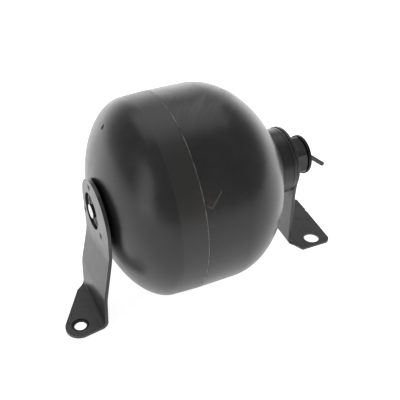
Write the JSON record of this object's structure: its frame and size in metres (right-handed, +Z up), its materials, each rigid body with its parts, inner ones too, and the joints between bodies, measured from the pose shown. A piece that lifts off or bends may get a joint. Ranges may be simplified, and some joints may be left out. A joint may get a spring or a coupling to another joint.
{
  "type": "diaphragm accumulator",
  "caption": "Black welded diaphragm accumulator lying on its side, with a bent sheet steel mounting bracket at each end and a plugged fluid port.",
  "frame": {"origin": "centre of the bounding box's bottom face, on the surface that the tank's belly and both brackets' feet stand on", "axes": "+X along the tank's axis towards the fluid port, +Y across the tank away from the side with the foot holes, +Z up"},
  "size_m": [0.1894, 0.12, 0.12],
  "materials": {
    "tank_paint": "satin black coat on drawn steel",
    "bracket_paint": "satin black coat on bent sheet steel",
    "bare_steel": "bare machined steel",
    "black_zinc": "satin black-passivated zinc plating on steel",
    "diaphragm_rubber": "matt moulded rubber",
    "plug_plastic": "matt moulded plastic"
  },
  "bodies": {
    "tank": {"gas_shell": "tank_paint", "fluid_shell": "tank_paint", "seam_weld": "tank_paint", "diaphragm_clamp_ring": "bare_steel", "diaphragm": "diaphragm_rubber", "gas_fill_plug": "bare_steel", "fill_plug_seal": "diaphragm_rubber", "gas_end_bracket": "bracket_paint", "plate_weld_1": "bracket_paint", "plate_weld_2": "bracket_paint", "plate_weld_3": "bracket_paint", "foot_bolt_ring": "plug_plastic", "port_neck": "tank_paint", "neck_weld": "tank_paint", "port_end_bracket": "bracket_paint", "bracket_washer": "black_zinc", "bracket_nut": "black_zinc"},
    "button": {"closing_button": "bare_steel"},
    "plug": {"transport_plug": "plug_plastic", "plug_pull_pin": "black_zinc"}
  },
  "joints": [
    {"name": "button_slide", "type": "slide", "parent": "tank", "child": "button", "axis": [1, 0, 0], "range_m": [-0.058, 0], "deforming": ["diaphragm"]},
    {"name": "plug_slide", "type": "slide", "parent": "tank", "child": "plug", "axis": [1, 0, 0], "range_m": [0, 0.04]}
  ]
}
